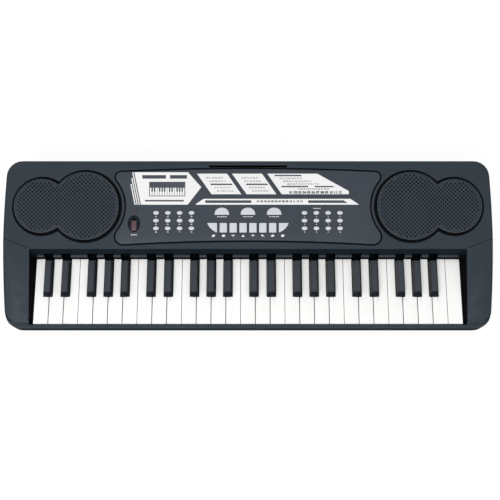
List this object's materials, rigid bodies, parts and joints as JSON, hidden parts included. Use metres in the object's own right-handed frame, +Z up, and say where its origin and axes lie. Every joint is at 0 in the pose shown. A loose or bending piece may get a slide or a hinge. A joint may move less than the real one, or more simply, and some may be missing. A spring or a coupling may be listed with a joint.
{
  "type": "portable electronic keyboard",
  "caption": "Portable electronic keyboard with piano-style keys, a sloping control panel with rubber buttons, and a round loudspeaker grille at each end.",
  "frame": {"origin": "on the table under the middle of the instrument, at the height of the feet's undersides", "axes": "+X along the keys towards the high notes, +Y away from the player, +Z up"},
  "size_m": [0.732, 0.247, 0.0787],
  "materials": {
    "casing": "fine-grained dark blue-grey",
    "panel": "smooth slate grey with a printed legend",
    "white_key": "glossy white",
    "black_key": "satin blue-black",
    "button": "matt silver-grey",
    "switch": "dull red",
    "circuit_board": "green lacquered board with grey rubber domes",
    "speaker": "black painted basket and paper cone"
  },
  "bodies": {
    "case": {"upper_case": "casing", "lower_case": "casing", "control_panel": "panel", "circuit_board": "circuit_board", "speaker_left": "speaker", "speaker_right": "speaker"},
    "keypad_left": {"keypad_left": "button"},
    "keypad_centre": {"keypad_centre": "button"},
    "keypad_right": {"keypad_right": "button"},
    "power_switch": {"power_switch": "switch"},
    "battery_door": {"battery_door": "casing"},
    "white_key_c2": {"white_key_c2": "white_key"},
    "black_key_cs2": {"black_key_cs2": "black_key"},
    "white_key_d2": {"white_key_d2": "white_key"},
    "black_key_ds2": {"black_key_ds2": "black_key"},
    "white_key_e2": {"white_key_e2": "white_key"},
    "white_key_f2": {"white_key_f2": "white_key"},
    "black_key_fs2": {"black_key_fs2": "black_key"},
    "white_key_g2": {"white_key_g2": "white_key"},
    "black_key_gs2": {"black_key_gs2": "black_key"},
    "white_key_a2": {"white_key_a2": "white_key"},
    "black_key_as2": {"black_key_as2": "black_key"},
    "white_key_b2": {"white_key_b2": "white_key"},
    "white_key_c3": {"white_key_c3": "white_key"},
    "black_key_cs3": {"black_key_cs3": "black_key"},
    "white_key_d3": {"white_key_d3": "white_key"},
    "black_key_ds3": {"black_key_ds3": "black_key"},
    "white_key_e3": {"white_key_e3": "white_key"},
    "white_key_f3": {"white_key_f3": "white_key"},
    "black_key_fs3": {"black_key_fs3": "black_key"},
    "white_key_g3": {"white_key_g3": "white_key"},
    "black_key_gs3": {"black_key_gs3": "black_key"},
    "white_key_a3": {"white_key_a3": "white_key"},
    "black_key_as3": {"black_key_as3": "black_key"},
    "white_key_b3": {"white_key_b3": "white_key"},
    "white_key_c4": {"white_key_c4": "white_key"},
    "black_key_cs4": {"black_key_cs4": "black_key"},
    "white_key_d4": {"white_key_d4": "white_key"},
    "black_key_ds4": {"black_key_ds4": "black_key"},
    "white_key_e4": {"white_key_e4": "white_key"},
    "white_key_f4": {"white_key_f4": "white_key"},
    "black_key_fs4": {"black_key_fs4": "black_key"},
    "white_key_g4": {"white_key_g4": "white_key"},
    "black_key_gs4": {"black_key_gs4": "black_key"},
    "white_key_a4": {"white_key_a4": "white_key"},
    "black_key_as4": {"black_key_as4": "black_key"},
    "white_key_b4": {"white_key_b4": "white_key"},
    "white_key_c5": {"white_key_c5": "white_key"},
    "black_key_cs5": {"black_key_cs5": "black_key"},
    "white_key_d5": {"white_key_d5": "white_key"},
    "black_key_ds5": {"black_key_ds5": "black_key"},
    "white_key_e5": {"white_key_e5": "white_key"},
    "white_key_f5": {"white_key_f5": "white_key"},
    "black_key_fs5": {"black_key_fs5": "black_key"},
    "white_key_g5": {"white_key_g5": "white_key"},
    "black_key_gs5": {"black_key_gs5": "black_key"},
    "white_key_a5": {"white_key_a5": "white_key"},
    "black_key_as5": {"black_key_as5": "black_key"},
    "white_key_b5": {"white_key_b5": "white_key"},
    "white_key_c6": {"white_key_c6": "white_key"}
  },
  "joints": [
    {"name": "keypad_left_press", "type": "slide", "parent": "case", "child": "keypad_left", "axis": [0, 0.1474, -0.9891], "range_m": [0, 0.001], "stiffness_N_per_m": 800, "springref_m": -0.001},
    {"name": "keypad_centre_press", "type": "slide", "parent": "case", "child": "keypad_centre", "axis": [0, 0.1474, -0.9891], "range_m": [0, 0.001], "stiffness_N_per_m": 800, "springref_m": -0.001},
    {"name": "keypad_right_press", "type": "slide", "parent": "case", "child": "keypad_right", "axis": [0, 0.1474, -0.9891], "range_m": [0, 0.001], "stiffness_N_per_m": 800, "springref_m": -0.001},
    {"name": "power_switch_slide", "type": "slide", "parent": "case", "child": "power_switch", "axis": [0, 0.9891, 0.1474], "range_m": [0, 0.006]},
    {"name": "battery_door_slide", "type": "slide", "parent": "case", "child": "battery_door", "axis": [0, 1, 0], "range_m": [0, 0.062]},
    {"name": "white_key_c2_press", "type": "hinge", "parent": "case", "child": "white_key_c2", "pos_m": [0, 0.0218, 0.024], "axis": [1, 0, 0], "range_deg": [0, 3], "stiffness_Nm_per_rad": 1.6, "springref_deg": -2.86},
    {"name": "black_key_cs2_press", "type": "hinge", "parent": "case", "child": "black_key_cs2", "pos_m": [0, 0.0218, 0.024], "axis": [1, 0, 0], "range_deg": [0, 3], "stiffness_Nm_per_rad": 1.6, "springref_deg": -2.86},
    {"name": "white_key_d2_press", "type": "hinge", "parent": "case", "child": "white_key_d2", "pos_m": [0, 0.0218, 0.024], "axis": [1, 0, 0], "range_deg": [0, 3], "stiffness_Nm_per_rad": 1.6, "springref_deg": -2.86},
    {"name": "black_key_ds2_press", "type": "hinge", "parent": "case", "child": "black_key_ds2", "pos_m": [0, 0.0218, 0.024], "axis": [1, 0, 0], "range_deg": [0, 3], "stiffness_Nm_per_rad": 1.6, "springref_deg": -2.86},
    {"name": "white_key_e2_press", "type": "hinge", "parent": "case", "child": "white_key_e2", "pos_m": [0, 0.0218, 0.024], "axis": [1, 0, 0], "range_deg": [0, 3], "stiffness_Nm_per_rad": 1.6, "springref_deg": -2.86},
    {"name": "white_key_f2_press", "type": "hinge", "parent": "case", "child": "white_key_f2", "pos_m": [0, 0.0218, 0.024], "axis": [1, 0, 0], "range_deg": [0, 3], "stiffness_Nm_per_rad": 1.6, "springref_deg": -2.86},
    {"name": "black_key_fs2_press", "type": "hinge", "parent": "case", "child": "black_key_fs2", "pos_m": [0, 0.0218, 0.024], "axis": [1, 0, 0], "range_deg": [0, 3], "stiffness_Nm_per_rad": 1.6, "springref_deg": -2.86},
    {"name": "white_key_g2_press", "type": "hinge", "parent": "case", "child": "white_key_g2", "pos_m": [0, 0.0218, 0.024], "axis": [1, 0, 0], "range_deg": [0, 3], "stiffness_Nm_per_rad": 1.6, "springref_deg": -2.86},
    {"name": "black_key_gs2_press", "type": "hinge", "parent": "case", "child": "black_key_gs2", "pos_m": [0, 0.0218, 0.024], "axis": [1, 0, 0], "range_deg": [0, 3], "stiffness_Nm_per_rad": 1.6, "springref_deg": -2.86},
    {"name": "white_key_a2_press", "type": "hinge", "parent": "case", "child": "white_key_a2", "pos_m": [0, 0.0218, 0.024], "axis": [1, 0, 0], "range_deg": [0, 3], "stiffness_Nm_per_rad": 1.6, "springref_deg": -2.86},
    {"name": "black_key_as2_press", "type": "hinge", "parent": "case", "child": "black_key_as2", "pos_m": [0, 0.0218, 0.024], "axis": [1, 0, 0], "range_deg": [0, 3], "stiffness_Nm_per_rad": 1.6, "springref_deg": -2.86},
    {"name": "white_key_b2_press", "type": "hinge", "parent": "case", "child": "white_key_b2", "pos_m": [0, 0.0218, 0.024], "axis": [1, 0, 0], "range_deg": [0, 3], "stiffness_Nm_per_rad": 1.6, "springref_deg": -2.86},
    {"name": "white_key_c3_press", "type": "hinge", "parent": "case", "child": "white_key_c3", "pos_m": [0, 0.0218, 0.024], "axis": [1, 0, 0], "range_deg": [0, 3], "stiffness_Nm_per_rad": 1.6, "springref_deg": -2.86},
    {"name": "black_key_cs3_press", "type": "hinge", "parent": "case", "child": "black_key_cs3", "pos_m": [0, 0.0218, 0.024], "axis": [1, 0, 0], "range_deg": [0, 3], "stiffness_Nm_per_rad": 1.6, "springref_deg": -2.86},
    {"name": "white_key_d3_press", "type": "hinge", "parent": "case", "child": "white_key_d3", "pos_m": [0, 0.0218, 0.024], "axis": [1, 0, 0], "range_deg": [0, 3], "stiffness_Nm_per_rad": 1.6, "springref_deg": -2.86},
    {"name": "black_key_ds3_press", "type": "hinge", "parent": "case", "child": "black_key_ds3", "pos_m": [0, 0.0218, 0.024], "axis": [1, 0, 0], "range_deg": [0, 3], "stiffness_Nm_per_rad": 1.6, "springref_deg": -2.86},
    {"name": "white_key_e3_press", "type": "hinge", "parent": "case", "child": "white_key_e3", "pos_m": [0, 0.0218, 0.024], "axis": [1, 0, 0], "range_deg": [0, 3], "stiffness_Nm_per_rad": 1.6, "springref_deg": -2.86},
    {"name": "white_key_f3_press", "type": "hinge", "parent": "case", "child": "white_key_f3", "pos_m": [0, 0.0218, 0.024], "axis": [1, 0, 0], "range_deg": [0, 3], "stiffness_Nm_per_rad": 1.6, "springref_deg": -2.86},
    {"name": "black_key_fs3_press", "type": "hinge", "parent": "case", "child": "black_key_fs3", "pos_m": [0, 0.0218, 0.024], "axis": [1, 0, 0], "range_deg": [0, 3], "stiffness_Nm_per_rad": 1.6, "springref_deg": -2.86},
    {"name": "white_key_g3_press", "type": "hinge", "parent": "case", "child": "white_key_g3", "pos_m": [0, 0.0218, 0.024], "axis": [1, 0, 0], "range_deg": [0, 3], "stiffness_Nm_per_rad": 1.6, "springref_deg": -2.86},
    {"name": "black_key_gs3_press", "type": "hinge", "parent": "case", "child": "black_key_gs3", "pos_m": [0, 0.0218, 0.024], "axis": [1, 0, 0], "range_deg": [0, 3], "stiffness_Nm_per_rad": 1.6, "springref_deg": -2.86},
    {"name": "white_key_a3_press", "type": "hinge", "parent": "case", "child": "white_key_a3", "pos_m": [0, 0.0218, 0.024], "axis": [1, 0, 0], "range_deg": [0, 3], "stiffness_Nm_per_rad": 1.6, "springref_deg": -2.86},
    {"name": "black_key_as3_press", "type": "hinge", "parent": "case", "child": "black_key_as3", "pos_m": [0, 0.0218, 0.024], "axis": [1, 0, 0], "range_deg": [0, 3], "stiffness_Nm_per_rad": 1.6, "springref_deg": -2.86},
    {"name": "white_key_b3_press", "type": "hinge", "parent": "case", "child": "white_key_b3", "pos_m": [0, 0.0218, 0.024], "axis": [1, 0, 0], "range_deg": [0, 3], "stiffness_Nm_per_rad": 1.6, "springref_deg": -2.86},
    {"name": "white_key_c4_press", "type": "hinge", "parent": "case", "child": "white_key_c4", "pos_m": [0, 0.0218, 0.024], "axis": [1, 0, 0], "range_deg": [0, 3], "stiffness_Nm_per_rad": 1.6, "springref_deg": -2.86},
    {"name": "black_key_cs4_press", "type": "hinge", "parent": "case", "child": "black_key_cs4", "pos_m": [0, 0.0218, 0.024], "axis": [1, 0, 0], "range_deg": [0, 3], "stiffness_Nm_per_rad": 1.6, "springref_deg": -2.86},
    {"name": "white_key_d4_press", "type": "hinge", "parent": "case", "child": "white_key_d4", "pos_m": [0, 0.0218, 0.024], "axis": [1, 0, 0], "range_deg": [0, 3], "stiffness_Nm_per_rad": 1.6, "springref_deg": -2.86},
    {"name": "black_key_ds4_press", "type": "hinge", "parent": "case", "child": "black_key_ds4", "pos_m": [0, 0.0218, 0.024], "axis": [1, 0, 0], "range_deg": [0, 3], "stiffness_Nm_per_rad": 1.6, "springref_deg": -2.86},
    {"name": "white_key_e4_press", "type": "hinge", "parent": "case", "child": "white_key_e4", "pos_m": [0, 0.0218, 0.024], "axis": [1, 0, 0], "range_deg": [0, 3], "stiffness_Nm_per_rad": 1.6, "springref_deg": -2.86},
    {"name": "white_key_f4_press", "type": "hinge", "parent": "case", "child": "white_key_f4", "pos_m": [0, 0.0218, 0.024], "axis": [1, 0, 0], "range_deg": [0, 3], "stiffness_Nm_per_rad": 1.6, "springref_deg": -2.86},
    {"name": "black_key_fs4_press", "type": "hinge", "parent": "case", "child": "black_key_fs4", "pos_m": [0, 0.0218, 0.024], "axis": [1, 0, 0], "range_deg": [0, 3], "stiffness_Nm_per_rad": 1.6, "springref_deg": -2.86},
    {"name": "white_key_g4_press", "type": "hinge", "parent": "case", "child": "white_key_g4", "pos_m": [0, 0.0218, 0.024], "axis": [1, 0, 0], "range_deg": [0, 3], "stiffness_Nm_per_rad": 1.6, "springref_deg": -2.86},
    {"name": "black_key_gs4_press", "type": "hinge", "parent": "case", "child": "black_key_gs4", "pos_m": [0, 0.0218, 0.024], "axis": [1, 0, 0], "range_deg": [0, 3], "stiffness_Nm_per_rad": 1.6, "springref_deg": -2.86},
    {"name": "white_key_a4_press", "type": "hinge", "parent": "case", "child": "white_key_a4", "pos_m": [0, 0.0218, 0.024], "axis": [1, 0, 0], "range_deg": [0, 3], "stiffness_Nm_per_rad": 1.6, "springref_deg": -2.86},
    {"name": "black_key_as4_press", "type": "hinge", "parent": "case", "child": "black_key_as4", "pos_m": [0, 0.0218, 0.024], "axis": [1, 0, 0], "range_deg": [0, 3], "stiffness_Nm_per_rad": 1.6, "springref_deg": -2.86},
    {"name": "white_key_b4_press", "type": "hinge", "parent": "case", "child": "white_key_b4", "pos_m": [0, 0.0218, 0.024], "axis": [1, 0, 0], "range_deg": [0, 3], "stiffness_Nm_per_rad": 1.6, "springref_deg": -2.86},
    {"name": "white_key_c5_press", "type": "hinge", "parent": "case", "child": "white_key_c5", "pos_m": [0, 0.0218, 0.024], "axis": [1, 0, 0], "range_deg": [0, 3], "stiffness_Nm_per_rad": 1.6, "springref_deg": -2.86},
    {"name": "black_key_cs5_press", "type": "hinge", "parent": "case", "child": "black_key_cs5", "pos_m": [0, 0.0218, 0.024], "axis": [1, 0, 0], "range_deg": [0, 3], "stiffness_Nm_per_rad": 1.6, "springref_deg": -2.86},
    {"name": "white_key_d5_press", "type": "hinge", "parent": "case", "child": "white_key_d5", "pos_m": [0, 0.0218, 0.024], "axis": [1, 0, 0], "range_deg": [0, 3], "stiffness_Nm_per_rad": 1.6, "springref_deg": -2.86},
    {"name": "black_key_ds5_press", "type": "hinge", "parent": "case", "child": "black_key_ds5", "pos_m": [0, 0.0218, 0.024], "axis": [1, 0, 0], "range_deg": [0, 3], "stiffness_Nm_per_rad": 1.6, "springref_deg": -2.86},
    {"name": "white_key_e5_press", "type": "hinge", "parent": "case", "child": "white_key_e5", "pos_m": [0, 0.0218, 0.024], "axis": [1, 0, 0], "range_deg": [0, 3], "stiffness_Nm_per_rad": 1.6, "springref_deg": -2.86},
    {"name": "white_key_f5_press", "type": "hinge", "parent": "case", "child": "white_key_f5", "pos_m": [0, 0.0218, 0.024], "axis": [1, 0, 0], "range_deg": [0, 3], "stiffness_Nm_per_rad": 1.6, "springref_deg": -2.86},
    {"name": "black_key_fs5_press", "type": "hinge", "parent": "case", "child": "black_key_fs5", "pos_m": [0, 0.0218, 0.024], "axis": [1, 0, 0], "range_deg": [0, 3], "stiffness_Nm_per_rad": 1.6, "springref_deg": -2.86},
    {"name": "white_key_g5_press", "type": "hinge", "parent": "case", "child": "white_key_g5", "pos_m": [0, 0.0218, 0.024], "axis": [1, 0, 0], "range_deg": [0, 3], "stiffness_Nm_per_rad": 1.6, "springref_deg": -2.86},
    {"name": "black_key_gs5_press", "type": "hinge", "parent": "case", "child": "black_key_gs5", "pos_m": [0, 0.0218, 0.024], "axis": [1, 0, 0], "range_deg": [0, 3], "stiffness_Nm_per_rad": 1.6, "springref_deg": -2.86},
    {"name": "white_key_a5_press", "type": "hinge", "parent": "case", "child": "white_key_a5", "pos_m": [0, 0.0218, 0.024], "axis": [1, 0, 0], "range_deg": [0, 3], "stiffness_Nm_per_rad": 1.6, "springref_deg": -2.86},
    {"name": "black_key_as5_press", "type": "hinge", "parent": "case", "child": "black_key_as5", "pos_m": [0, 0.0218, 0.024], "axis": [1, 0, 0], "range_deg": [0, 3], "stiffness_Nm_per_rad": 1.6, "springref_deg": -2.86},
    {"name": "white_key_b5_press", "type": "hinge", "parent": "case", "child": "white_key_b5", "pos_m": [0, 0.0218, 0.024], "axis": [1, 0, 0], "range_deg": [0, 3], "stiffness_Nm_per_rad": 1.6, "springref_deg": -2.86},
    {"name": "white_key_c6_press", "type": "hinge", "parent": "case", "child": "white_key_c6", "pos_m": [0, 0.0218, 0.024], "axis": [1, 0, 0], "range_deg": [0, 3], "stiffness_Nm_per_rad": 1.6, "springref_deg": -2.86}
  ]
}
